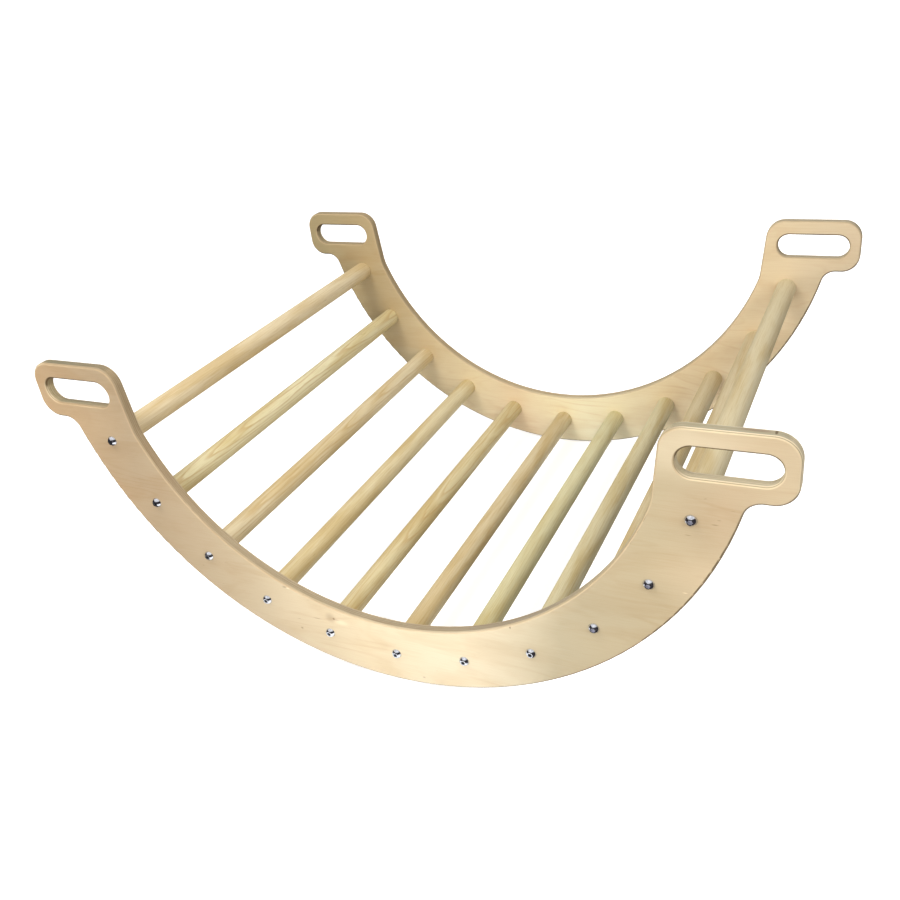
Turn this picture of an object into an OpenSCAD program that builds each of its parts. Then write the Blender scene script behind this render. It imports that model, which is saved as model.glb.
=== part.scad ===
// Wooden rocker arch for a child's room: two curved plywood side panels with
// hand slots, joined by a row of round rungs. Each rung is held by a
// button-head bolt at each end, which screws into a threaded insert.
// Millimetres. X runs along the rocking direction, Y along the rungs, Z up.
// The origin is under the middle of the arch, where it touches the floor.

/* [Arch] */
// Radius of the circle that the rung centres lie on
rung_circle_r = 405; // [335:1:490]
// Width of the curved band, measured across it
band_w = 90; // [75:1:110]
// Thickness of each side panel
panel_t = 15; // [12:1:24]
// Radius of the rounded edges of the side panels and hand slots
edge_r = 3; // [1:0.5:5]

/* [Rungs] */
// Number of rungs, spread evenly along the band
rung_count = 11; // [5:1:13]
// Height of the handles' lower edges above the centres of the two end rungs
end_rung_drop = 28.5; // [24:0.5:60]
// Diameter of a rung
rung_d = 30; // [26:1:40]
// Length of a rung, which is the clear width between the side panels
rung_l = 670; // [400:5:900]
// Chamfer round each end of a rung
rung_chamfer = 0.6; // [0.2:0.1:2]

/* [Handles] */
// Drop from the centre of the arch down to the flat handle tops
handle_drop = 27; // [15:1:40]
// Height of a handle, from its lower edge to its top
handle_h = 77; // [70:1:90]
// How far a handle stands out beyond the outer arc's radius
handle_reach = 36; // [25:1:60]
// How far the top of a handle's inner side stands inside the inner arc's radius
side_inset = 10; // [4:0.5:14]
// Lean of the inner side away from upright, in degrees
side_lean = 6; // [0:0.5:7]
// Radius that blends the inner side into the inner arc
side_blend_r = 60; // [20:5:150]
// Radius of the two upper corners of a handle
handle_top_r = 27; // [15:1:32]
// Radius of the lower outer corner of a handle
handle_bottom_r = 25; // [10:1:32]
// Radius of the hollow under a handle, where it meets the outer arc
handle_fillet_r = 20; // [8:1:40]

/* [Hand slots] */
// Wood left between a hand slot and the handle top
slot_top_wall = 21; // [16:1:26]
// Wood left between a hand slot and the lower edge of its handle
slot_bottom_wall = 21; // [16:1:26]
// Wood left between a hand slot and the outer side of its handle
slot_outer_wall = 16; // [12:1:24]
// Wood left between a hand slot and the leaning inner side, at mid-height
slot_inner_wall = 19; // [12:1:24]

/* [Bolts and inserts] */
// Diameter of a bolt
bolt_d = 8; // [6:1:8]
// Length of a bolt under its head
bolt_l = 40; // [35:1:60]
// Chamfer round the tip of a bolt
bolt_chamfer = 1; // [0.4:0.1:1.5]
// Diameter of a bolt head
head_d = 14; // [13:0.5:18]
// Height of a domed bolt head
head_h = 4.4; // [3.5:0.1:5]
// Diameter of the flat on top of a bolt head
head_flat_d = 7.4; // [6.5:0.1:8.5]
// Width of the hexagon socket, flat to flat
socket_w = 5; // [4:0.5:6]
// Depth of the hexagon socket
socket_h = 2.6; // [1.5:0.1:3]
// Wall of a threaded insert, from the bolt out to the insert's outer thread
insert_wall = 2; // [1.5:0.5:3]
// Length of a threaded insert
insert_l = 20; // [12:1:25]
// Depth of an insert's mouth below the end of its rung
insert_sink = 0.5; // [0.2:0.1:2]
// Free room round a bolt in its hole through the panel, on the radius
bolt_room = 0.5; // [0.2:0.1:1]
// Free room round a bolt inside its insert, on the radius
thread_room = 0.1; // [0.05:0.05:0.3]
// Free room round an insert in its rung, on the radius
insert_room = 0.1; // [0.05:0.05:0.3]
// Free room beyond the tip of a bolt
tip_room = 4; // [2:1:10]

/* [Hidden] */
$fn = 96;

// Radii of the two arcs of the band
inner_r = rung_circle_r - band_w / 2;
outer_r = rung_circle_r + band_w / 2;
// Height of the centre of the arcs above the floor
arc_z = outer_r;
// Turns about the centre of the arcs: from the lowest point of the band to an
// end rung, and from one rung to the next
end_rung_angle = acos((handle_drop + handle_h + end_rung_drop) / rung_circle_r);
rung_step = 2 * end_rung_angle / (rung_count - 1);
// Outer diameter of a threaded insert
insert_d = bolt_d + 2 * insert_wall;

// Panel outline, drawn about the centre of the arcs. These are the levels and
// sides of the right-hand handle.
top_y = -handle_drop;
bottom_y = top_y - handle_h;
handle_x = outer_r + handle_reach;
side_top = [inner_r - side_inset, top_y];
// Direction up the leaning inner side, and its normal, which points into the wood
side_up = [sin(side_lean), cos(side_lean)];
side_in = [cos(side_lean), -sin(side_lean)];

// Centres of the rounded corners
top_inner_c = [
    side_top.x + handle_top_r * (1 - sin(side_lean)) / cos(side_lean),
    top_y - handle_top_r
];
top_outer_c = [handle_x - handle_top_r, top_y - handle_top_r];
bottom_outer_c = [handle_x - handle_bottom_r, bottom_y + handle_bottom_r];
fillet_c_y = bottom_y - handle_fillet_r;
fillet_c = [sqrt(pow(outer_r + handle_fillet_r, 2) - pow(fillet_c_y, 2)), fillet_c_y];
// The blend touches the inner side and, from within, the inner arc
blend_line = side_top - side_blend_r * side_in;
blend_run = blend_line * side_up
    + sqrt(pow(blend_line * side_up, 2) - blend_line * blend_line
        + pow(inner_r - side_blend_r, 2));
blend_c = blend_line - blend_run * side_up;

// Where the two arcs of the band end on the right, as angles from the X axis
outer_end = atan2(fillet_c.y, fillet_c.x);
inner_end = atan2(blend_c.y, blend_c.x);

// Round corners of the right-hand handle: centre, radius, first and last angle
TOP_INNER = [top_inner_c, handle_top_r, 90, 180 - side_lean];
TOP_OUTER = [top_outer_c, handle_top_r, 0, 90];
BOTTOM_OUTER = [bottom_outer_c, handle_bottom_r, -90, 0];
FILLET = [fillet_c, handle_fillet_r, 90, 180 + outer_end];
BLEND = [blend_c, side_blend_r, inner_end, -side_lean];

// Right-hand hand slot: its two ends, its middle, and how far from the middle
// the centres of its round ends lie
slot_h = handle_h - slot_top_wall - slot_bottom_wall;
slot_r = slot_h / 2;
slot_y = top_y - slot_top_wall - slot_r;
slot_outer_x = handle_x - slot_outer_wall;
slot_inner_x = side_top.x - (top_y - slot_y) * tan(side_lean) + slot_inner_wall;
slot_c = [(slot_outer_x + slot_inner_x) / 2, slot_y];
slot_run = (slot_outer_x - slot_inner_x) / 2 - slot_r;
SLOT_END = [[slot_run, 0], slot_r, -90, 90];

// How far a cutter runs past the face that it cuts
over = 1;
// How far a rounding cutter runs on past the end of its stretch, where it leaves
// the wood and so takes nothing more off
run_on = 2;
// Surfaces that only touch don't build cleanly, so they are made to cross. The
// rounding cutter is hollowed out this much wider than the rounding, and round
// corners are drawn with this much added to their radius.
ease = 0.01;

function polar(r, a) = r * [cos(a), sin(a)];
function start_point(arc) = arc[0] + polar(arc[1], arc[2]);
function end_point(arc) = arc[0] + polar(arc[1], arc[3]);

// Draws its children on the right, and again mirrored on the left
module both_ends() {
    children();
    mirror([1, 0, 0]) children();
}

// Gives a flat area the thickness of a panel
module board() {
    linear_extrude(panel_t) children();
}

// Runs a flat area right through a panel
module through() {
    translate([0, 0, -over]) linear_extrude(panel_t + 2 * over) children();
}

// Keeps what lies below a level, anywhere in the depth of a panel
module keep_below(level) {
    reach = outer_r + over;
    intersection() {
        children();
        through() translate([-reach, -reach]) square([2 * reach, reach + level]);
    }
}

// Wood of a side panel, before anything is cut out of it. The disc has its
// rounded edges already.
module panel_blank() {
    keep_below(slot_y) rotate_extrude() difference() {
        square([outer_r, panel_t]);
        translate([outer_r, 0]) edge_waste();
    }
    board() translate([-handle_x, bottom_y]) square([2 * handle_x, handle_h]);
    both_ends() board() polygon([fillet_c / 2, fillet_c, [fillet_c.x, slot_y]]);
}

// Cuts a round hollow into the wood
module hollow(arc) {
    through() translate(arc[0]) circle(arc[1] + ease);
}

// Takes the wood outside a round corner off
module corner_waste(arc) {
    reach = arc[1] + over;
    half_turn = (arc[3] - arc[2]) / 2;
    through() translate(arc[0]) difference() {
        polygon([
            [0, 0], polar(reach, arc[2]),
            polar(reach / cos(half_turn), arc[2] + half_turn), polar(reach, arc[3])
        ]);
        circle(arc[1] + ease);
    }
}

// The cradle between the two handles. The disc takes the rounding of its rims
// with it.
module cradle() {
    side_end = side_top + over / cos(side_lean) * side_up;
    right = [blend_c - [0, side_blend_r], end_point(BLEND), side_end];
    left = [for (k = [len(right) - 1:-1:0]) [-right[k].x, right[k].y]];
    keep_below(inner_r * sin(inner_end) - over / 2) {
        translate([0, 0, -over]) cylinder(r = inner_r, h = panel_t + 2 * over);
        rotate_extrude() translate([inner_r, 0]) mirror([1, 0]) edge_waste();
    }
    through() polygon(concat(right, left));
    both_ends() hollow(BLEND);
}

// Hand slot of the right-hand handle
module hand_slot() {
    translate(slot_c) {
        for (s = [0, 1]) rotate(180 * s) hollow(SLOT_END);
        through() square([2 * slot_run, slot_h], center = true);
    }
}

// What the rounding cutter takes off a panel's edge, seen along the edge. The
// edge is at x = 0, with the wood on its left, and y is the depth of the panel.
module edge_waste() {
    for (face = [0, 1]) translate([0, face * panel_t]) mirror([0, 1 - face]) difference() {
        translate([-edge_r, -edge_r]) square(edge_r + over);
        translate([-edge_r, -edge_r]) circle(edge_r + ease);
    }
}

// Rounds a straight edge from p to q, with the wood on the left of the way. The
// cutter starts this far before p and ends this far after q.
module round_straight(p, q, before = 0, after = 0) {
    run = q - p;
    translate(p) rotate(atan2(run.y, run.x)) translate([-before, 0]) rotate([90, 0, 90])
        linear_extrude(before + norm(run) + after) mirror([1, 0]) edge_waste();
}

// Rounds an edge along an arc. A hollow edge has its wood outside the arc.
module round_arc(arc, hollow = false) {
    translate(arc[0]) rotate(arc[2]) rotate_extrude(angle = arc[3] - arc[2])
        translate([arc[1], 0]) mirror([hollow ? 1 : 0, 0]) edge_waste();
}

// Rounds the edge of a round corner
module round_corner(arc) {
    round_arc(arc + [[0, 0], ease, 0, 0]);
}

// Rounds the edge of a hollow, and runs on past both of its ends
module round_hollow(arc) {
    turn_on = run_on / arc[1] * 180 / PI;
    round_arc(arc + [[0, 0], ease, -turn_on, turn_on], hollow = true);
}

// Rounds the corners and the hollows of the right-hand handle
module round_handle_arcs() {
    for (corner = [TOP_INNER, TOP_OUTER, BOTTOM_OUTER]) round_corner(corner);
    for (hollow_arc = [FILLET, BLEND]) round_hollow(hollow_arc);
}

// Rounds the straight sides between them
module round_handle_sides() {
    round_straight(start_point(FILLET), start_point(BOTTOM_OUTER), after = run_on);
    round_straight(end_point(BOTTOM_OUTER), start_point(TOP_OUTER), run_on, run_on);
    round_straight(end_point(TOP_OUTER), start_point(TOP_INNER), run_on, run_on);
    round_straight(end_point(TOP_INNER), end_point(BLEND), before = run_on);
}

// Rounds the rim of the right-hand hand slot at its round ends
module round_slot_ends() {
    for (s = [0, 1]) translate(slot_c) rotate(180 * s) round_hollow(SLOT_END);
}

// Rounds its straight sides
module round_slot_sides() {
    for (s = [0, 1]) translate(slot_c) rotate(180 * s)
        round_straight([-slot_run, slot_r], [slot_run, slot_r]);
}

// Moves its children to the end of rung number i, in the plane of the panel
module at_rung(i) {
    a = (i - (rung_count + 1) / 2) * rung_step - 90;
    translate(polar(rung_circle_r, a)) children();
}

// Side panel cut to its outline, without slots or holes
module panel_outline() {
    difference() {
        panel_blank();
        cradle();
        both_ends() {
            hollow(FILLET);
            for (corner = [TOP_INNER, TOP_OUTER, BOTTOM_OUTER]) corner_waste(corner);
        }
    }
}

// The same with the rim of each handle rounded. Rounding cutters that run into
// each other cross too finely to be joined, so one set is taken off after the other.
module rounded_panel() {
    difference() {
        difference() {
            panel_outline();
            both_ends() round_handle_arcs();
        }
        both_ends() round_handle_sides();
    }
}

// Side panel lying flat, with its inner face down on z = 0
module flat_panel() {
    difference() {
        difference() {
            rounded_panel();
            both_ends() {
                hand_slot();
                round_slot_ends();
            }
            for (i = [1:rung_count]) at_rung(i)
                translate([0, 0, -over]) cylinder(r = bolt_d / 2 + bolt_room, h = panel_t + 2 * over);
        }
        both_ends() round_slot_sides();
    }
}

// Stands its children up on the front end of the rungs, where Y is negative.
// What lay at z = 0 comes to the end of the rungs, facing outwards.
module at_front() {
    translate([0, -rung_l / 2, arc_z]) rotate([90, 0, 0]) children();
}

// The same at the back end of the rungs
module at_back() {
    mirror([0, 1, 0]) at_front() children();
}

module side_panel_front() {
    color("burlywood") at_front() flat_panel();
}

module side_panel_back() {
    color("burlywood") at_back() flat_panel();
}

// Round rung number i, with a stepped bore in each end for insert and bolt
module rung(i) {
    r = rung_d / 2;
    half = rung_l / 2;
    tip_depth = bolt_l - panel_t + tip_room;
    color("wheat") translate([0, 0, arc_z]) rotate([90, 0, 0]) at_rung(i) difference() {
        rotate_extrude() polygon([
            [0, -half], [r - rung_chamfer, -half], [r, -half + rung_chamfer],
            [r, half - rung_chamfer], [r - rung_chamfer, half], [0, half]
        ]);
        for (end = [0, 1]) mirror([0, 0, end]) {
            translate([0, 0, half - insert_sink - insert_l])
                cylinder(r = insert_d / 2 + insert_room, h = insert_sink + insert_l + over);
            translate([0, 0, half - tip_depth])
                cylinder(r = bolt_d / 2 + thread_room, h = tip_depth);
        }
    }
}

// Button-head bolt with a hexagon socket, its head resting on z = 0
module bolt() {
    head_r = head_d / 2;
    // The dome is part of a ball that meets the rim and the edge of the flat top
    ball_z = (pow(head_flat_d / 2, 2) + pow(head_h, 2) - pow(head_r, 2)) / (2 * head_h);
    ball_r = norm([head_r, ball_z]);
    difference() {
        union() {
            rotate_extrude() intersection() {
                translate([0, ball_z]) circle(ball_r);
                square([head_r, head_h]);
            }
            translate([0, 0, -bolt_l]) {
                cylinder(r1 = bolt_d / 2 - bolt_chamfer, r2 = bolt_d / 2, h = bolt_chamfer);
                translate([0, 0, bolt_chamfer]) cylinder(d = bolt_d, h = bolt_l - bolt_chamfer);
            }
        }
        translate([0, 0, head_h - socket_h])
            cylinder(d = socket_w / cos(30), h = socket_h + over, $fn = 6);
    }
}

// The two bolts that hold rung number i
module rung_bolts(i) {
    color("silver") {
        at_front() at_rung(i) translate([0, 0, panel_t]) bolt();
        at_back() at_rung(i) translate([0, 0, panel_t]) bolt();
    }
}

// Threaded insert, its mouth facing up at z = 0
module insert() {
    translate([0, 0, -insert_l]) difference() {
        cylinder(d = insert_d, h = insert_l);
        translate([0, 0, -over]) cylinder(r = bolt_d / 2 + thread_room, h = insert_l + 2 * over);
    }
}

// The two threaded inserts in the ends of rung number i
module rung_inserts(i) {
    color("goldenrod") {
        at_front() at_rung(i) translate([0, 0, -insert_sink]) insert();
        at_back() at_rung(i) translate([0, 0, -insert_sink]) insert();
    }
}

// Name of rung number i, such as rung_03
function rung_name(i) = str("rung_", i < 10 ? "0" : "", i);

side_panel_front();
side_panel_back();
for (i = [1:rung_count]) rung(i);
for (i = [1:rung_count]) rung_bolts(i);
for (i = [1:rung_count]) rung_inserts(i);
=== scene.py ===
import math
import random
from typing import NamedTuple

import bpy
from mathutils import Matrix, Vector


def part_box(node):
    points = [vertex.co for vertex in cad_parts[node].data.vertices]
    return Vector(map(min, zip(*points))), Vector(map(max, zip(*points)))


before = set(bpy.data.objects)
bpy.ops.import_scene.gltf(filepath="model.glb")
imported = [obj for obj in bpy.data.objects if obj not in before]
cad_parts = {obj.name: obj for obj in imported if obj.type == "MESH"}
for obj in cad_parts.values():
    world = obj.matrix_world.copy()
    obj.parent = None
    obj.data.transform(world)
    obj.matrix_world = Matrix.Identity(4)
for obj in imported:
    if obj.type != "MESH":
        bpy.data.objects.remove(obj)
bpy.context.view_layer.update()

# Looks of a child's wooden rocker arch: two curved plywood panels joined by round
# rungs. Every shape comes from the frame. This script adds the finish of each
# surface, the floor, the light and the camera. Lengths are in metres.

MM = 0.001


def srgb(red, green, blue):
    """A colour given as three sRGB values from 0 to 255, as Blender's linear RGBA."""
    def linear(value):
        share = value / 255
        return share / 12.92 if share <= 0.04045 else ((share + 0.055) / 1.055) ** 2.4
    return (linear(red), linear(green), linear(blue), 1.0)


BLACK = (0.0, 0.0, 0.0, 1.0)
WHITE = (1.0, 1.0, 1.0, 1.0)


# ---- Tools for making materials ----

class Noise(NamedTuple):
    """An irregular pattern: how many of its features fall in a metre along X, Y and Z, how many
    finer layers it has, how strong these are, and how far it is warped."""
    per_metre: tuple
    detail: float = 2.0
    roughness: float = 0.5
    distortion: float = 0.0


class Step(NamedTuple):
    """A smooth step: it gives before for a value under low, and after for a value over high."""
    low: float
    high: float
    before: float = 0.0
    after: float = 1.0


def smooth_step(tree, value, step):
    """Adds a smooth step to a node tree and returns the socket that it gives."""
    node = tree.nodes.new("ShaderNodeMapRange")
    node.interpolation_type = "SMOOTHSTEP"
    tree.links.new(value, node.inputs["Value"])
    for key, number in zip(("From Min", "From Max", "To Min", "To Max"), step):
        node.inputs[key].default_value = number
    return node.outputs["Result"]


class Shader:
    """One material's nodes. Most methods add nodes and return the socket that they give."""

    # Sockets of a Mix node: its factor, its two colours and the colour that it gives
    MIX_FACTOR, MIX_FIRST, MIX_SECOND, MIX_RESULT = 0, 6, 7, 2
    # Vector operations that give a number
    GIVES_NUMBER = ("LENGTH", "DISTANCE", "DOT_PRODUCT")

    def __init__(self, name):
        self.material = bpy.data.materials.new(name)
        self.material.use_nodes = True
        self.tree = self.material.node_tree
        self.tree.nodes.clear()
        self.surface = self.node("ShaderNodeBsdfPrincipled")
        output = self.node("ShaderNodeOutputMaterial")
        self.tree.links.new(self.surface.outputs["BSDF"], output.inputs["Surface"])
        self.place = self.node("ShaderNodeTexCoord").outputs["Object"]
        self.normal = self.node("ShaderNodeNewGeometry").outputs["Normal"]

    def node(self, kind, **settings):
        node = self.tree.nodes.new(kind)
        for key, value in settings.items():
            setattr(node, key, value)
        return node

    def put(self, socket, value):
        """Links a socket to an input, or stores a plain value in it."""
        if isinstance(value, bpy.types.NodeSocket):
            self.tree.links.new(value, socket)
        else:
            socket.default_value = value

    def math(self, operation, a, b=0.0, clamp=False):
        node = self.node("ShaderNodeMath", operation=operation, use_clamp=clamp)
        self.put(node.inputs[0], a)
        self.put(node.inputs[1], b)
        return node.outputs[0]

    def rest_of(self, share):
        """What is missing from a share to 1."""
        return self.math("SUBTRACT", 1.0, share)

    def vector(self, operation, a, b=(0, 0, 0)):
        node = self.node("ShaderNodeVectorMath", operation=operation)
        self.put(node.inputs[0], a)
        self.put(node.inputs[1], b)
        return node.outputs["Value" if operation in self.GIVES_NUMBER else "Vector"]

    def parts(self, vector):
        """The X, Y and Z of a vector."""
        node = self.node("ShaderNodeSeparateXYZ")
        self.put(node.inputs[0], vector)
        return node.outputs[0:3]

    def across(self, vector):
        """The vector without its part along Y, which is the width of the arch."""
        return self.vector("MULTIPLY", vector, (1, 0, 1))

    def noise(self, place, noise):
        """The value of an irregular pattern, from 0 to 1 and mostly near a half."""
        node = self.node("ShaderNodeTexNoise", noise_dimensions="3D")
        self.put(node.inputs["Vector"], self.vector("MULTIPLY", place, noise.per_metre))
        node.inputs["Scale"].default_value = 1.0
        node.inputs["Detail"].default_value = noise.detail
        node.inputs["Roughness"].default_value = noise.roughness
        node.inputs["Distortion"].default_value = noise.distortion
        return node.outputs["Fac"]

    def smooth(self, value, step):
        return smooth_step(self.tree, value, step)

    def pattern(self, place, noise, step):
        """How much an irregular pattern shows. The step goes from no pattern to all of it."""
        return self.smooth(self.noise(place, noise), step)

    def ramp(self, value, *stops):
        """The colour at a value from 0 to 1, between stops of a value and its colour."""
        node = self.node("ShaderNodeValToRGB")
        self.put(node.inputs[0], value)
        elements = node.color_ramp.elements
        while len(elements) < len(stops):
            elements.new(0.5)
        for element, (position, colour) in zip(elements, stops):
            element.position = position
            element.color = colour
        return node.outputs["Color"]

    def mix(self, factor, a, b, blend="MIX"):
        """Goes from colour a to colour b, or to their blend, as the factor goes from 0 to 1."""
        node = self.node("ShaderNodeMix", data_type="RGBA", blend_type=blend)
        for index, value in ((self.MIX_FACTOR, factor), (self.MIX_FIRST, a), (self.MIX_SECOND, b)):
            self.put(node.inputs[index], value)
        return node.outputs[self.MIX_RESULT]

    def darken(self, colour, amount, tone):
        """Multiplies a colour by the tone, as far as amount says."""
        return self.mix(amount, colour, tone, "MULTIPLY")

    def spot(self, centre, half_size, soft):
        """1 in an ellipsoid round a point, down to 0 at its rim. Soft says how far in the rim reaches."""
        from_centre = self.vector("SUBTRACT", self.place, centre)
        shares = self.vector("MULTIPLY", from_centre, tuple(1 / size for size in half_size))
        return self.smooth(self.vector("LENGTH", shares), Step(1 - soft, 1.0, before=1.0, after=0.0))

    def bump(self, height, distance):
        """Relief of the surface: distance is how high it stands where the height is 1."""
        node = self.node("ShaderNodeBump")
        node.inputs["Distance"].default_value = distance
        self.put(node.inputs["Height"], height)
        self.put(self.surface.inputs["Normal"], node.outputs["Normal"])

    def shine(self, level):
        """How much a surface that isn't metal mirrors, where 0.5 is usual."""
        self.surface.inputs["Specular IOR Level"].default_value = level

    def glow(self, colour, strength):
        self.put(self.surface.inputs["Emission Color"], colour)
        self.surface.inputs["Emission Strength"].default_value = strength

    def finish(self, colour, roughness):
        self.put(self.surface.inputs["Base Color"], colour)
        self.put(self.surface.inputs["Roughness"], roughness)
        return self.material


# ---- Plywood ----

WOOD_SHINE = 0.35
WOOD_RELIEF = 0.08 * MM

PLIES = 11
# Rounding of the rim and middle of the panel's arcs, as in the CAD model
EDGE_R = 3 * MM
ARC_CENTRE = (0, 0, 450 * MM)
PANEL_INNER_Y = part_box("side_panel_back")[0].y
HALF_L, PANEL_OUTER_Y, TOP_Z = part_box("side_panel_back")[1]
PANEL_T = PANEL_OUTER_Y - PANEL_INNER_Y

# Tones that are multiplied into the wood, some of them as painted shade, apart from that of the pale marks
# and painted highlights, which covers it
STREAK_TONE = srgb(224, 198, 164)
FLECK_TONE = srgb(150, 112, 78)
DARK_MARK_AND_SHADE_TONE = srgb(148, 112, 74)
PALE_MARK_AND_HIGHLIGHT_TONE = srgb(255, 240, 210)
END_GRAIN_TONE = srgb(226, 218, 204)
GLUE_TONE = srgb(140, 120, 96)
EDGE_SHADE_TONE = srgb(150, 140, 123)
CORNER_SHADE_TONE = srgb(200, 200, 192)
PATCH_TONE = srgb(236, 224, 226)
HANDLED_TONE = srgb(217, 219, 219)

# X between which the front panel's paler left tip ends
TIP_X, TIP_END_X = -HALF_L + 18 * MM, -HALF_L + 31 * MM

# Tone of each face and edge, from the left end of the panel to its right end: X and colour
FRONT_INNER_TONES = [
    (-HALF_L, srgb(220, 198, 162)), (-0.20, srgb(228, 210, 176)), (0.15, srgb(238, 220, 186)),
    (HALF_L, srgb(226, 206, 170))
]
# The outer face's tones are partly the veneer's own and partly painted light: palest near the bottom middle
# of the arch as a painted pool of light, and darker away from it as painted shade.
FRONT_OUTER_TONES_AND_LIGHT = [
    (-HALF_L, srgb(215, 185, 146)), (-0.34, srgb(193, 172, 142)), (-0.20, srgb(203, 186, 156)),
    (-0.06, srgb(230, 214, 182)), (0.12, srgb(238, 225, 197)), (0.24, srgb(194, 182, 153)),
    (0.34, srgb(203, 187, 154)), (0.42, srgb(222, 201, 167)), (HALF_L, srgb(224, 204, 170))
]
FRONT_EDGE_TONES = [
    (-HALF_L, srgb(205, 190, 155)), (TIP_X, srgb(200, 186, 152)), (TIP_END_X, srgb(168, 160, 133)),
    (-0.42, srgb(170, 160, 134)), (-0.37, srgb(178, 162, 132)), (-0.33, srgb(181, 160, 130)),
    (-0.24, srgb(184, 169, 143)), (-0.10, srgb(174, 160, 135)), (0.05, srgb(169, 155, 131)),
    (0.20, srgb(170, 160, 144)), (0.36, srgb(214, 203, 174)), (HALF_L, srgb(220, 210, 184))
]
# The inner face's tones are partly the veneer's own and partly painted light and shade: darker towards the
# left end as painted shade, and palest just right of the middle as painted light.
BACK_INNER_TONES_AND_LIGHT = [
    (-HALF_L, srgb(175, 159, 120)), (-0.36, srgb(188, 168, 129)), (-0.16, srgb(236, 219, 181)),
    (-0.065, srgb(240, 218, 182)), (0.0, srgb(252, 238, 199)), (0.07, srgb(255, 246, 210)),
    (0.24, srgb(235, 216, 179)), (HALF_L, srgb(226, 206, 174))
]
BACK_OUTER_TONES = [
    (-HALF_L, srgb(226, 206, 170)), (-0.20, srgb(238, 220, 186)), (0.10, srgb(230, 212, 176)),
    (HALF_L, srgb(222, 202, 168))
]
BACK_EDGE_TONES = [
    (-HALF_L, srgb(172, 158, 124)), (-0.34, srgb(180, 160, 126)), (0.0, srgb(200, 182, 148)),
    (HALF_L, srgb(190, 180, 156))
]

# Where the outer face's tones take over from the inner face's, by depth from the inner face
OUTER_SIDE = Step(0.4 * PANEL_T, 0.6 * PANEL_T)
# Slow drift of the tones off their places along X, and how far it reaches
TONE_DRIFT = Noise((4, 4, 9))
DRIFT_REACH = 0.16
# Satin patches
SATIN = Noise((9, 20, 26), detail=3, roughness=0.6, distortion=0.8)
SATIN_SHOWS = Step(0.42, 0.70, after=0.22)
# Wavy figure: lines where a slow noise passes evenly spaced values, in some areas only
FIGURE = Noise((2.6, 30, 13), roughness=0.45, distortion=0.5)
FIGURE_LINES = 26.0
FIGURE_LINE_SHOWS = Step(0.62, 0.98)
FIGURE_AREAS = Noise((5, 20, 14))
FIGURE_AREA_SHOWS = Step(0.44, 0.64)
FIGURE_STRENGTH = 0.20
# Fine fibres along the grain. They also change the gloss and the relief of the face.
FIBRES = Noise((24, 300, 900), detail=3, roughness=0.6)
FIBRES_SHOW = Step(0.40, 0.68, after=0.12)
FACE_ROUGHNESS = Step(0.3, 0.7, before=0.40, after=0.50)
FIBRE_RELIEF = 0.5
# Short dark flecks, in some areas only
FLECKS = Noise((75, 150, 640), detail=1)
FLECK_SHOWS = Step(0.77, 0.84)
FLECK_AREAS = Noise((6, 6, 9))
FLECK_AREA_SHOWS = Step(0.54, 0.62)
FLECK_STRENGTH = 0.45


class Mark(NamedTuple):
    """A soft mark in the front panel's outer face, or a patch of painted shade or painted highlight there:
    its middle, half length and half height in millimetres, its strength from 0 to 1, and whether it is paler
    than the wood."""
    x: float
    z: float
    half_x: float
    half_z: float
    strength: float
    pale: bool = False


# Half depth of a mark, from the face in, and how soft its rim is
MARK_DEPTH = 2 * MM
MARK_SOFT = 0.9
FRONT_MARKS = [
    Mark(-158, 122, 5, 2.2, 0.45), Mark(-152, 121, 5, 1.6, 0.8, pale=True),
    Mark(-89, 83, 2.6, 2.6, 0.75), Mark(-84, 82, 7, 1.2, 0.45), Mark(-78, 79, 16, 7, 0.5, pale=True),
    Mark(-145, 55, 3, 2.6, 0.5), Mark(-116, 78, 9, 0.7, 0.6), Mark(-146, 71, 4, 0.7, 0.4),
    Mark(168, 128, 1.6, 3, 0.8), Mark(407, 316, 5, 0.9, 0.5), Mark(411, 322, 3, 0.8, 0.35),
    Mark(380, 299, 5, 0.9, 0.4), Mark(378, 224, 4, 0.9, 0.7, pale=True), Mark(36, 13, 3, 2, 0.4),
    # The first two marks on the next line are painted light on the right-hand handle: painted shade over its
    # lower part and a painted highlight over its top.
    Mark(415, 325, 80, 75, 0.16), Mark(375, 400, 90, 50, 0.4, pale=True), Mark(-94, 84, 11, 11, 0.3)
]

# Edge: a ply is darker and mottled where its fibres end on the edge
END_GRAIN_SHOWS = Step(0.2, 0.9, after=0.6)
# Streaks that run along the edge. They also roughen its relief.
STREAKS = Noise((20, 1100, 20))
STREAKS_SHOW = Step(0.42, 0.62, after=0.6)
RIM_STREAKS_SHOW = Step(0.45, 0.65, after=0.15)
# Painted shade in the corner between the edge and the inner face, by depth from that face
INNER_CORNER_SHADE = Step(1.5 * MM, 4 * MM, before=0.9, after=0.0)
# Where the handles' tops begin, which hands darken
HANDLE_TOP_LOW, HANDLE_TOP_HIGH = TOP_Z - 6 * MM, TOP_Z - 2 * MM
# Glue lines, by distance from the nearest one as a share of a ply's thickness
GLUE_FADES = Step(0.04, 0.13)
GLUE_STRENGTH = 0.25
# One ply ends in a dark butt joint on top of the front panel's right-hand handle, with a pinkish
# patch beside it
JOINT_Y = -PANEL_INNER_Y - 5.5 * MM
JOINT_PLACE, JOINT_HALF_SIZE = (459.5 * MM, JOINT_Y, TOP_Z), (1.8 * MM, 6 * MM, 3 * MM)
PATCH_PLACE, PATCH_HALF_SIZE = (440 * MM, JOINT_Y, TOP_Z), (20 * MM, 3 * MM, 3 * MM)
JOINT_STRENGTH = 0.8
JOINT_SOFT = 0.5

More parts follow.
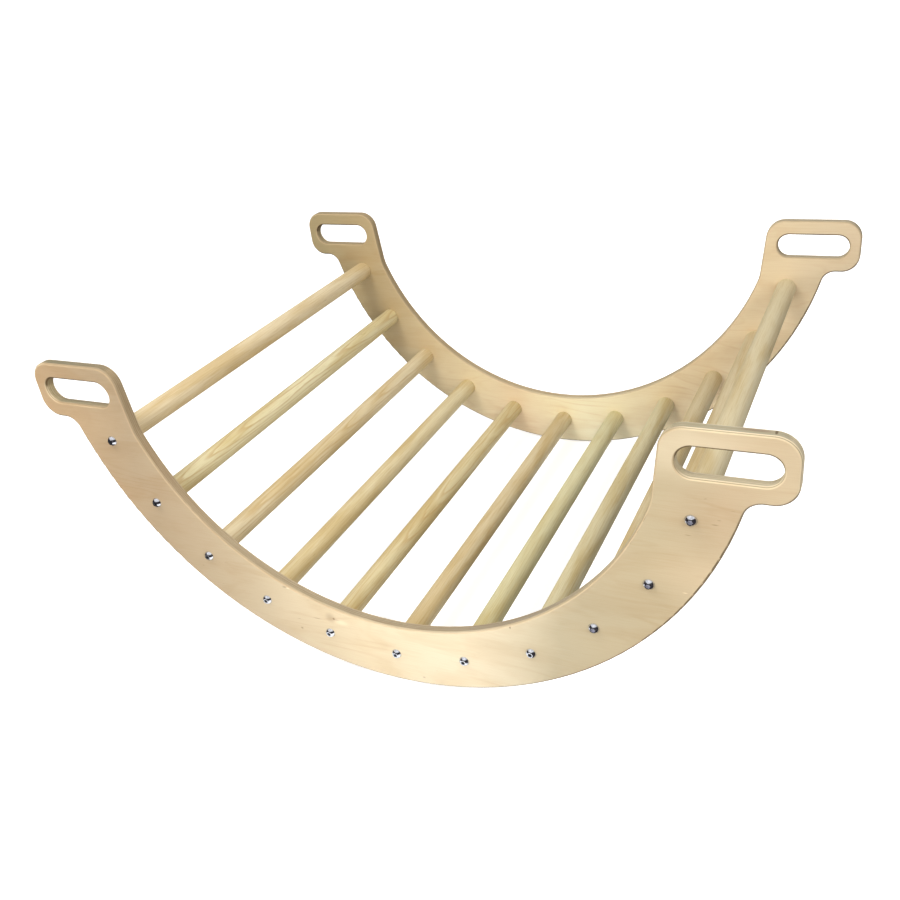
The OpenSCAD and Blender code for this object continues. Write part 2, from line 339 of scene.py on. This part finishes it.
# Tone of the rounded rim from the face in to the flat of the edge, as shares of its depth. It cuts through
# the face veneer and the ply under it. In places a painted highlight makes the rim paler.
RIM_PLAIN = [
    (0.0, srgb(214, 191, 155)), (0.16, srgb(190, 166, 131)), (0.36, srgb(155, 133, 102)),
    (0.46, srgb(132, 112, 86)), (0.58, srgb(160, 141, 113)), (1.0, srgb(158, 140, 112))
]
RIM_HIGHLIT = [
    (0.0, srgb(236, 218, 184)), (0.20, srgb(232, 214, 180)), (0.29, srgb(178, 160, 128)),
    (0.45, srgb(178, 160, 128)), (0.55, srgb(240, 226, 196)), (0.90, srgb(234, 220, 190)),
    (1.0, srgb(206, 188, 156))
]
RIM_ENDS = Step(0.88 * EDGE_R, EDGE_R)
VENEER_IN_RIM = 0.4
# Where the rim gets its painted highlight: at the right-hand handle, a little along the right half of the
# arch, and at the left tip
RIGHT_HANDLE_X, RIGHT_HANDLE_Z = Step(0.355, 0.385), Step(0.30, 0.36)
RIGHT_HALF = Step(0.05, 0.35, after=0.15)
LEFT_TIP = Step(TIP_X, TIP_END_X, before=0.6, after=0.0)

# What faces down, or out from the arch below the handles, gets painted shade, the rim more than the flat of
# the edge
FACES_DOWN = Step(-0.35, -0.04, before=1.0, after=0.0)
FACES_OUT = Step(0.15, 0.55)
BELOW_HANDLES = Step(0.33, 0.36, before=0.75, after=0.0)
SHADED_RIM = Step(0.7 * EDGE_R, 1.2 * EDGE_R, before=1.0, after=0.4)

# Where the face begins, by how far the surface faces along Y
ON_FACE = Step(0.95, 0.99)
EDGE_ROUGHER = 0.12


class Plywood(Shader):
    """Birch plywood: a rotary-cut face with its grain along X, and plies that show on every edge."""

    def __init__(self, name):
        super().__init__(name)
        self.x, y, self.z = self.parts(self.place)
        # How far the surface faces up, and how far it faces along X, Y and Z, either way
        normal = self.parts(self.normal)
        self.facing_up = normal[2]
        self.facing_x, self.facing_y, self.facing_z = [self.math("ABSOLUTE", part) for part in normal]
        self.depth = self.math("SUBTRACT", self.math("ABSOLUTE", y), PANEL_INNER_Y)
        self.from_face = self.math("MINIMUM", self.depth, self.math("SUBTRACT", PANEL_T, self.depth))
        self.ply = self.math("DIVIDE", self.depth, PANEL_T / PLIES)
        self.glue = self.rest_of(self.smooth(self.math("PINGPONG", self.ply, 0.5), GLUE_FADES))
        self.fibres = self.noise(self.place, FIBRES)
        self.streaks = self.noise(self.place, STREAKS)

    def tones(self, x, stops):
        """The tone at a place along X, between stops of X and colour."""
        share = self.math("DIVIDE", self.math("ADD", x, HALF_L), 2 * HALF_L)
        return self.ramp(share, *[((at + HALF_L) / (2 * HALF_L), tone) for at, tone in stops])

    def veneer(self, inner_tones, outer_tones):
        """Tone of the veneer on both faces, with the painted light and shade that some of its tones carry,
        before it gets any pattern.
        """
        drift = self.math("SUBTRACT", self.noise(self.place, TONE_DRIFT), 0.5)
        x = self.math("ADD", self.x, self.math("MULTIPLY", drift, DRIFT_REACH))
        inner, outer = self.tones(x, inner_tones), self.tones(x, outer_tones)
        return self.mix(self.smooth(self.depth, OUTER_SIDE), inner, outer)

    def face(self, veneer, marks):
        """Veneer with its satin patches, wavy figure, fibres, flecks and marks, some of which are painted
        shade and painted highlight.
        """
        colour = self.darken(veneer, self.pattern(self.place, SATIN, SATIN_SHOWS), STREAK_TONE)
        waves = self.math("MULTIPLY", self.noise(self.place, FIGURE), FIGURE_LINES)
        lines = self.smooth(self.math("PINGPONG", waves, 1.0), FIGURE_LINE_SHOWS)
        lines = self.math("MULTIPLY", lines, self.pattern(self.place, FIGURE_AREAS, FIGURE_AREA_SHOWS))
        colour = self.darken(colour, self.math("MULTIPLY", lines, FIGURE_STRENGTH), STREAK_TONE)
        colour = self.darken(colour, self.smooth(self.fibres, FIBRES_SHOW), STREAK_TONE)
        flecks = self.pattern(self.place, FLECKS, FLECK_SHOWS)
        flecks = self.math("MULTIPLY", flecks, self.pattern(self.place, FLECK_AREAS, FLECK_AREA_SHOWS))
        colour = self.darken(colour, self.math("MULTIPLY", flecks, FLECK_STRENGTH), FLECK_TONE)
        # Pale marks cover the wood and dark ones darken it. Some of both are painted highlight and painted
        # shade, not marks in the wood.
        for mark in marks:
            centre = (mark.x * MM, -PANEL_OUTER_Y, mark.z * MM)
            half_size = (mark.half_x * MM, MARK_DEPTH, mark.half_z * MM)
            amount = self.math("MULTIPLY", self.spot(centre, half_size, MARK_SOFT), mark.strength)
            if mark.pale:
                colour = self.mix(amount, colour, PALE_MARK_AND_HIGHLIGHT_TONE)
            else:
                colour = self.darken(colour, amount, DARK_MARK_AND_SHADE_TONE)
        return colour

    def plies(self, tones, wear_and_highlight):
        """Plies of crossed grain: the fibres of one end where the edge faces along X, and those of
        the next where it faces along Z."""
        odd = self.math("PINGPONG", self.math("FLOOR", self.ply), 1.0)
        ends_here = self.math("ADD", self.math("MULTIPLY", self.facing_x, self.rest_of(odd)),
                              self.math("MULTIPLY", self.facing_z, odd))
        colour = self.tones(self.x, tones)
        colour = self.darken(colour, self.smooth(ends_here, END_GRAIN_SHOWS), END_GRAIN_TONE)
        colour = self.darken(colour, self.smooth(self.streaks, STREAKS_SHOW), END_GRAIN_TONE)
        # Painted shade in the corner by the inner face
        colour = self.darken(colour, self.smooth(self.depth, INNER_CORNER_SHADE), CORNER_SHADE_TONE)
        on_top = self.smooth(self.z, Step(HANDLE_TOP_LOW, HANDLE_TOP_HIGH, after=wear_and_highlight))
        return self.darken(colour, on_top, HANDLED_TONE)

    def butt_joint(self, colour):
        """Adds the butt joint in one ply to the colour of the edge."""
        colour = self.darken(colour, self.spot(PATCH_PLACE, PATCH_HALF_SIZE, JOINT_SOFT), PATCH_TONE)
        joint = self.spot(JOINT_PLACE, JOINT_HALF_SIZE, JOINT_SOFT)
        return self.darken(colour, self.math("MULTIPLY", joint, JOINT_STRENGTH), GLUE_TONE)

    def rim(self, veneer, wear_and_highlight):
        """Rounded rim, which cuts through the plies at a slant and carries a painted highlight in places."""
        share = self.math("DIVIDE", self.from_face, EDGE_R, clamp=True)
        pale = self.math("MULTIPLY", self.smooth(self.x, RIGHT_HANDLE_X), self.smooth(self.z, RIGHT_HANDLE_Z))
        pale = self.math("MAXIMUM", pale, self.smooth(self.x, RIGHT_HALF))
        pale = self.math("MAXIMUM", pale, self.smooth(self.x, LEFT_TIP))
        pale = self.math("MULTIPLY", pale, wear_and_highlight)
        colour = self.mix(VENEER_IN_RIM, self.ramp(share, *RIM_PLAIN), veneer)
        # Painted highlight that makes the rim paler in places
        colour = self.mix(pale, colour, self.ramp(share, *RIM_HIGHLIT))
        return self.darken(colour, self.smooth(self.streaks, RIM_STREAKS_SHOW), STREAK_TONE)

    def paint_edge_shade(self, colour):
        """Paints shade on the edge where it faces down or out."""
        from_centre = self.vector("SUBTRACT", self.across(self.place), ARC_CENTRE)
        facing_out = self.vector("DOT_PRODUCT", self.normal, self.vector("NORMALIZE", from_centre))
        below_handles = self.smooth(self.z, BELOW_HANDLES)
        shaded = self.math("MULTIPLY", self.smooth(facing_out, FACES_OUT), below_handles)
        shaded = self.math("MAXIMUM", self.smooth(self.facing_up, FACES_DOWN), shaded)
        shaded = self.math("MULTIPLY", shaded, self.smooth(self.from_face, SHADED_RIM))
        return self.darken(colour, shaded, EDGE_SHADE_TONE)


def plywood(name, inner_tones, outer_tones, edge_tones, wear_and_highlight, marks=(), butt_joint=False):
    """The plywood of one panel. The share of wear and highlight, from 0 to 1, says how pale the painted
    highlight makes the rim and how dark hands make the tops of the handles."""
    s = Plywood(name)
    veneer = s.veneer(inner_tones, outer_tones)
    face = s.face(veneer, marks)
    edge = s.plies(edge_tones, wear_and_highlight)
    if butt_joint:
        edge = s.butt_joint(edge)
    edge = s.darken(edge, s.math("MULTIPLY", s.glue, GLUE_STRENGTH), GLUE_TONE)
    edge = s.mix(s.smooth(s.from_face, RIM_ENDS), s.rim(veneer, wear_and_highlight), edge)
    # Painted shade on the edge where it faces down or out
    edge = s.paint_edge_shade(edge)

    on_edge = s.rest_of(s.smooth(s.facing_y, ON_FACE))
    colour = s.mix(on_edge, face, edge)
    roughness = s.math("ADD", s.smooth(s.fibres, FACE_ROUGHNESS), s.math("MULTIPLY", on_edge, EDGE_ROUGHER))
    face_relief = s.math("MULTIPLY", s.math("MULTIPLY", s.fibres, FIBRE_RELIEF), s.rest_of(on_edge))
    edge_relief = s.math("MULTIPLY", s.math("SUBTRACT", s.streaks, s.glue), on_edge)
    s.bump(s.math("ADD", face_relief, edge_relief), WOOD_RELIEF)
    s.shine(WOOD_SHINE)
    return s.finish(colour, roughness)


# ---- Rungs ----

LATE_TONE = srgb(190, 158, 104)
ROD_SHADE_TONE = srgb(226, 210, 172)
PORE_TONE = srgb(160, 132, 90)
PITH_BEHIND = math.radians(233)


class Rod(NamedTuple):
    """What differs from rung to rung: how strongly the growth rings show, the pale colour, and the
    turn of the pith about the rod, or None where it may fall anywhere."""
    ring_strength: float
    tone: tuple
    pith_angle: float = None


# From the left of the photograph to the right
RODS = [
    Rod(0.14, srgb(227, 211, 177)),
    Rod(0.56, srgb(228, 219, 182), PITH_BEHIND),
    Rod(0.48, srgb(223, 209, 176), PITH_BEHIND),
    Rod(0.20, srgb(221, 208, 171)),
    Rod(0.50, srgb(215, 202, 162), PITH_BEHIND),
    Rod(0.26, srgb(213, 198, 162)),
    Rod(0.34, srgb(216, 212, 174)),
    Rod(0.24, srgb(214, 206, 171)),
    Rod(0.26, srgb(210, 196, 161)),
    Rod(0.16, srgb(210, 196, 162)),
    Rod(0.12, srgb(213, 201, 168))
]
ROD_SEED = 11
# How near and how far the pith may lie from the middle of the rod, in millimetres, and how far each
# rod's patterns may be shifted either way, in metres
PITH_OFFSET = (26, 40)
PATTERN_SHIFT = 9

# Growth rings: their spacing, how far they wander and fray, and how fast they run out along the rod.
# The late wood of each ring sets in slowly and ends sharply.
RING_SPACING = 2.1 * MM
RING_WOBBLE = Noise((14, 2.4, 14), roughness=0.45)
WOBBLE_REACH = 12 * MM
RING_FRAY = Noise((160, 14, 160))
FRAY_REACH = 1.2 * MM
RING_RUN_OUT = 0.014
LATE_SETS_IN = Step(0.55, 0.90)
LATE_ENDS = Step(0.92, 1.0)
# Darker patches, then fine fibres, which also change the gloss, then pores
ROD_PATCHES = Noise((34, 5, 34), detail=3, distortion=0.6)
ROD_PATCHES_SHOW = Step(0.38, 0.66, after=0.6)
ROD_FIBRES = Noise((700, 20, 700), detail=3, roughness=0.6)
ROD_FIBRES_SHOW = Step(0.42, 0.70, after=0.4)
ROD_ROUGHNESS = Step(0.3, 0.7, before=0.44, after=0.54)
PORES = Noise((900, 50, 900), detail=1)
PORES_SHOW = Step(0.69, 0.77)
PORE_STRENGTH, PORE_STRENGTH_BY_RINGS = 0.12, 0.45
ROD_FIBRE_RELIEF, LATE_RELIEF = 0.6, 0.3


def rod_wood(number, centre, rod, chance):
    """Turned rod with its grain along Y. The growth rings stand round a pith outside the rod."""
    s = Shader(f"rung_wood_{number:02d}")
    place = s.vector("SUBTRACT", s.place, tuple(centre))
    pith_angle = chance.uniform(0, 2 * math.pi) if rod.pith_angle is None else rod.pith_angle
    pith_r = chance.uniform(*PITH_OFFSET) * MM
    shift = tuple(chance.uniform(-PATTERN_SHIFT, PATTERN_SHIFT) for _ in range(3))
    shifted = s.vector("ADD", place, shift)

    # Distance from the pith. It drifts along the rod, so the rings run out in pointed arches.
    pith = (pith_r * math.cos(pith_angle), 0, pith_r * math.sin(pith_angle))
    wobble = s.math("MULTIPLY", s.noise(shifted, RING_WOBBLE), WOBBLE_REACH)
    fray = s.math("MULTIPLY", s.noise(shifted, RING_FRAY), FRAY_REACH)
    radius = s.math("ADD", s.vector("DISTANCE", s.across(place), pith), wobble)
    radius = s.math("ADD", radius, fray)
    radius = s.math("ADD", radius, s.math("MULTIPLY", s.parts(place)[1], RING_RUN_OUT))
    ring = s.math("FRACT", s.math("DIVIDE", radius, RING_SPACING))
    late = s.math("MULTIPLY", s.smooth(ring, LATE_SETS_IN), s.rest_of(s.smooth(ring, LATE_ENDS)))

    colour = s.darken(rod.tone, s.pattern(shifted, ROD_PATCHES, ROD_PATCHES_SHOW), ROD_SHADE_TONE)
    colour = s.mix(s.math("MULTIPLY", late, rod.ring_strength), colour, LATE_TONE)
    fibres = s.noise(shifted, ROD_FIBRES)
    colour = s.darken(colour, s.smooth(fibres, ROD_FIBRES_SHOW), ROD_SHADE_TONE)
    pore_strength = PORE_STRENGTH + PORE_STRENGTH_BY_RINGS * rod.ring_strength
    pores = s.math("MULTIPLY", s.pattern(shifted, PORES, PORES_SHOW), pore_strength)
    colour = s.darken(colour, pores, PORE_TONE)

    relief = s.math("MULTIPLY", fibres, ROD_FIBRE_RELIEF)
    s.bump(s.math("ADD", relief, s.math("MULTIPLY", late, LATE_RELIEF)), WOOD_RELIEF)
    s.shine(WOOD_SHINE)
    return s.finish(colour, s.smooth(fibres, ROD_ROUGHNESS))


# ---- Metal ----

BOLT_TOP_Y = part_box("rung_06_bolts")[1].y
BOLT_BRIGHT = srgb(230, 232, 238)
BOLT_DULL = srgb(192, 195, 204)
SOCKET_SHADE_TONE = srgb(50, 52, 58)
SOCKET_GLINT_TONE = srgb(168, 170, 186)
# Rungs whose bolts have a pale painted reflection in the socket. The other sockets are painted dark as shade.
GLINTING_SOCKETS = (9, 10, 11)

# Fine turning marks round the head, and scuffs that change its colour and gloss
TURNING = Noise((2400, 1, 1))
TURNING_RELIEF = 0.006 * MM
SCUFFS = Noise((420, 420, 420), detail=3, roughness=0.6)
DULL_AT, BRIGHT_AT = 0.35, 0.62
BOLT_ROUGHNESS = Step(0.35, 0.75, before=0.12, after=0.24)
# The socket, by depth below the top of the head and by distance from its middle
SOCKET_R = 2.95 * MM
BELOW_HEAD = Step(0.15 * MM, 0.9 * MM)
IN_SOCKET = Step(SOCKET_R, SOCKET_R + 0.15 * MM, before=1.0, after=0.0)
SOCKET_ROUGHER = 0.35

# Turning marks on the brass, between two stops of their value and tone
INSERT_MARKS = Noise((150, 2500, 150))
INSERT_DARK, INSERT_BRIGHT = (0.35, srgb(186, 150, 86)), (0.65, srgb(214, 180, 112))
INSERT_ROUGHNESS = Step(0.3, 0.7, before=0.28, after=0.42)
INSERT_RELIEF = 0.03 * MM


def bolt_metal(number, centre):
    """Bright plated steel with fine turning marks round the head, and a dull socket painted dark as shade, or
    pale as a painted reflection.
    """
    s = Shader(f"bolt_metal_{number:02d}")
    from_axis = s.vector("SUBTRACT", s.place, (centre.x, 0, centre.z))
    radius = s.vector("LENGTH", s.across(from_axis))
    radius_only = s.node("ShaderNodeCombineXYZ")
    s.put(radius_only.inputs["X"], radius)
    turning = s.noise(radius_only.outputs["Vector"], TURNING)
    scuffs = s.noise(s.place, SCUFFS)
    colour = s.ramp(scuffs, (DULL_AT, BOLT_DULL), (BRIGHT_AT, BOLT_BRIGHT))
    below_top = s.math("SUBTRACT", BOLT_TOP_Y, s.math("ABSOLUTE", s.parts(s.place)[1]))
    sunk = s.math("MULTIPLY", s.smooth(below_top, BELOW_HEAD), s.smooth(radius, IN_SOCKET))
    # The socket is painted dark as shade, or pale as a painted reflection on some rungs
    colour = s.mix(sunk, colour, SOCKET_GLINT_TONE if number in GLINTING_SOCKETS else SOCKET_SHADE_TONE)
    s.bump(turning, TURNING_RELIEF)
    s.put(s.surface.inputs["Metallic"], s.rest_of(sunk))
    roughness = s.math("ADD", s.smooth(scuffs, BOLT_ROUGHNESS), s.math("MULTIPLY", sunk, SOCKET_ROUGHER))
    return s.finish(colour, roughness)


def insert_metal():
    """Plain turned brass."""
    s = Shader("insert_metal")
    s.surface.inputs["Metallic"].default_value = 1.0
    marks = s.noise(s.place, INSERT_MARKS)
    s.bump(marks, INSERT_RELIEF)
    return s.finish(s.ramp(marks, INSERT_DARK, INSERT_BRIGHT), s.smooth(marks, INSERT_ROUGHNESS))


# ---- Materials on the pieces ----

# How pale the painted highlight makes each panel's rim, and how dark hands make the tops of its handles, from
# 0 to 1
FRONT_WEAR_AND_HIGHLIGHT, BACK_WEAR_AND_HIGHLIGHT = 1.0, 0.1


def dress(node, material):
    """Puts one material in every slot of a CAD node."""
    for material_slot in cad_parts[node].material_slots:
        material_slot.material = material


def dress_all():
    chance = random.Random(ROD_SEED)
    dress("side_panel_front", plywood("plywood_front", FRONT_INNER_TONES, FRONT_OUTER_TONES_AND_LIGHT, FRONT_EDGE_TONES,
                                      FRONT_WEAR_AND_HIGHLIGHT, FRONT_MARKS, butt_joint=True))
    dress("side_panel_back", plywood("plywood_back", BACK_INNER_TONES_AND_LIGHT, BACK_OUTER_TONES, BACK_EDGE_TONES,
                                     BACK_WEAR_AND_HIGHLIGHT))
    insert = insert_metal()
    for number, rod in enumerate(RODS, start=1):
        name = f"rung_{number:02d}"
        low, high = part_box(name)
        centre = (low + high) / 2
        dress(name, rod_wood(number, centre, rod, chance))
        dress(name + "_bolts", bolt_metal(number, centre))
        dress(name + "_inserts", insert)


# ---- Floor and what the metal mirrors ----

BOWL_SIDES = 64
# Radius of the hole in the middle of a bowl's roof
ROOF_HOLE_R = 0.01

FLOOR_R, WALL_R, WALL_H = 14.0, 22.0, 40.0
BEND_STEPS = 12
FLOOR_GLOW = 0.62
FLOOR_ROUGHNESS = 0.9
# Faint mottle of the floor, between two stops of its value and tone
FLOOR_MOTTLE = Noise((2, 2, 2))
FLOOR_DARK, FLOOR_LIGHT = (0.3, srgb(232, 232, 232)), (0.7, srgb(238, 238, 238))

ROOM_R, ROOM_H = 5.0, 3.4
# The room's floor lies just under the studio's. What is above CEILING_Z is its ceiling.
ROOM_FLOOR_Z = -1 * MM
CEILING_Z = ROOM_H - 10 * MM
ROOM_GLOW = 1.5
ROOM_DIM = srgb(48, 45, 48)
CEILING_LIGHT = 0.67
# Middle of each lit patch of floor: three in front of the arch and one just behind it
LIT_PATCHES = ((-0.06, -0.44), (-0.28, -0.75), (-0.50, -1.05), (-0.06, 0.44))
LIT_PATCH_R = 0.30
LIT_PATCH_SOFT = 0.35


def bowl(name, rings):
    """Stage piece turned about Z from a list of (radius, height), closed in the middle of the first ring."""
    points = [(0.0, 0.0, rings[0][1])]
    for radius, height in rings:
        for side in range(BOWL_SIDES):
            angle = 2 * math.pi * side / BOWL_SIDES
            points.append((radius * math.cos(angle), radius * math.sin(angle), height))
    faces = [(0, 1 + side, 1 + (side + 1) % BOWL_SIDES) for side in range(BOWL_SIDES)]
    for k in range(len(rings) - 1):
        first, second = 1 + k * BOWL_SIDES, 1 + (k + 1) * BOWL_SIDES
        for side in range(BOWL_SIDES):
            after = (side + 1) % BOWL_SIDES
            faces.append((first + side, second + side, second + after, first + after))
    mesh = bpy.data.meshes.new(name)
    mesh.from_pydata(points, [], faces)
    piece = bpy.data.objects.new(name, mesh)
    bpy.context.scene.collection.objects.link(piece)
    piece.visible_diffuse = False
    piece.visible_shadow = False
    return piece


def studio():
    """Pale floor, level with the bottom of the arch, which curves up into a plain backdrop all round.

    It glows a little, so that it comes out white and the arch's shadow on it stays faint. It
    neither lights the arch nor blocks the light from the world behind it.
    """
    bend = WALL_R - FLOOR_R
    rings = [(FLOOR_R, 0.0)]
    for k in range(1, BEND_STEPS + 1):
        turn = math.pi / 2 * k / BEND_STEPS
        rings.append((FLOOR_R + bend * math.sin(turn), bend * (1 - math.cos(turn))))
    piece = bowl("studio_floor", rings + [(WALL_R, WALL_H), (ROOF_HOLE_R, WALL_H)])
    piece.visible_glossy = False
    s = Shader("studio_floor")
    s.glow(WHITE, FLOOR_GLOW)
    s.shine(0.0)
    tone = s.ramp(s.noise(s.place, FLOOR_MOTTLE), FLOOR_DARK, FLOOR_LIGHT)
    piece.data.materials.append(s.finish(tone, FLOOR_ROUGHNESS))


def reflected_room():
    """What shows in the bolts' shine: dim walls, a bright ceiling, and a floor with lit patches."""
    piece = bowl("reflected_room", [(ROOM_R, ROOM_FLOOR_Z), (ROOM_R, ROOM_H), (ROOF_HOLE_R, ROOM_H)])
    piece.visible_camera = False
    s = Shader("reflected_room")
    s.surface.inputs["Base Color"].default_value = BLACK
    s.shine(0.0)
    on_ceiling = s.math("GREATER_THAN", s.parts(s.place)[2], CEILING_Z)
    lit = s.math("MULTIPLY", on_ceiling, CEILING_LIGHT)
    for x, y in LIT_PATCHES:
        lit = s.math("MAXIMUM", lit, s.spot((x, y, 0.0), (LIT_PATCH_R,) * 3, LIT_PATCH_SOFT))
    s.glow(s.mix(lit, ROOM_DIM, WHITE), ROOM_GLOW)
    piece.data.materials.append(s.material)


# ---- Light and camera ----

# Strength of the light from all round, by height: weaker from below
SKY = Step(-0.35, 0.45, before=0.44, after=0.58)


class Lamp(NamedTuple):
    """A round lamp: its place, the point that it shines at, its diameter, power in watts and colour."""
    place: tuple
    target: tuple
    size: float
    power: float
    colour: tuple = srgb(255, 250, 240)


LAMPS = {
    "lamp_above": Lamp((-0.6, -0.8, 1.9), (0.0, 0.0, 0.15), 0.9, 20),
    "lamp_right": Lamp((1.5, -1.1, 1.3), (0.0, 0.0, 0.2), 0.9, 10),
    "lamp_low": Lamp((0.02, -1.0, 0.26), (0.0, -0.35, 0.05), 0.35, 3.0, srgb(255, 250, 242)),
    "lamp_behind": Lamp((-0.3, 2.4, 0.75), (0.0, 0.3, 0.2), 0.9, 15)
}

# The camera stands where the photograph was taken from, found by fitting it to the arch's outline.
# Its sensor and lens are in millimetres, and its turn is in degrees.
SENSOR_W = 36.0
LENS = 37.9
LENS_SHIFT = (-0.0336, 0.0376)
CLIP_START = 0.05
CAMERA_PLACE = (0.5509, -1.1556, 0.8598)
CAMERA_TURN = (59.234, 5.644, 23.083)


def add_lamp(name, lamp):
    """Soft lamp that is itself out of sight, in the shine too."""
    light = bpy.data.lights.new(name, "AREA")
    light.shape = "DISK"
    light.size = lamp.size
    light.energy = lamp.power
    light.color = lamp.colour[:3]
    holder = bpy.data.objects.new(name, light)
    holder.location = lamp.place
    direction = Vector(lamp.target) - Vector(lamp.place)
    holder.rotation_euler = direction.to_track_quat("-Z", "Y").to_euler()
    holder.visible_camera = False
    holder.visible_glossy = False
    bpy.context.scene.collection.objects.link(holder)


def lighting():
    """Soft light from all round, with a lamp above on the left, one on the right, one low in front
    and one behind."""
    world = bpy.data.worlds.new("studio_light")
    world.use_nodes = True
    tree = world.node_tree
    height = tree.nodes.new("ShaderNodeSeparateXYZ")
    tree.links.new(tree.nodes.new("ShaderNodeTexCoord").outputs["Generated"], height.inputs[0])
    strength = smooth_step(tree, height.outputs["Z"], SKY)
    tree.links.new(strength, tree.nodes["Background"].inputs["Strength"])
    tree.nodes["Background"].inputs["Color"].default_value = WHITE
    bpy.context.scene.world = world
    bpy.context.scene.view_settings.view_transform = "Standard"
    for name, lamp in LAMPS.items():
        add_lamp(name, lamp)


def camera():
    """Camera at the photograph's viewing angle."""
    lens = bpy.data.cameras.new("camera")
    lens.sensor_width = SENSOR_W
    lens.lens = LENS
    lens.shift_x, lens.shift_y = LENS_SHIFT
    lens.clip_start = CLIP_START
    view = bpy.data.objects.new("camera", lens)
    view.location = CAMERA_PLACE
    view.rotation_euler = [math.radians(angle) for angle in CAMERA_TURN]
    bpy.context.scene.collection.objects.link(view)
    bpy.context.scene.camera = view


dress_all()
studio()
reflected_room()
lighting()
camera()
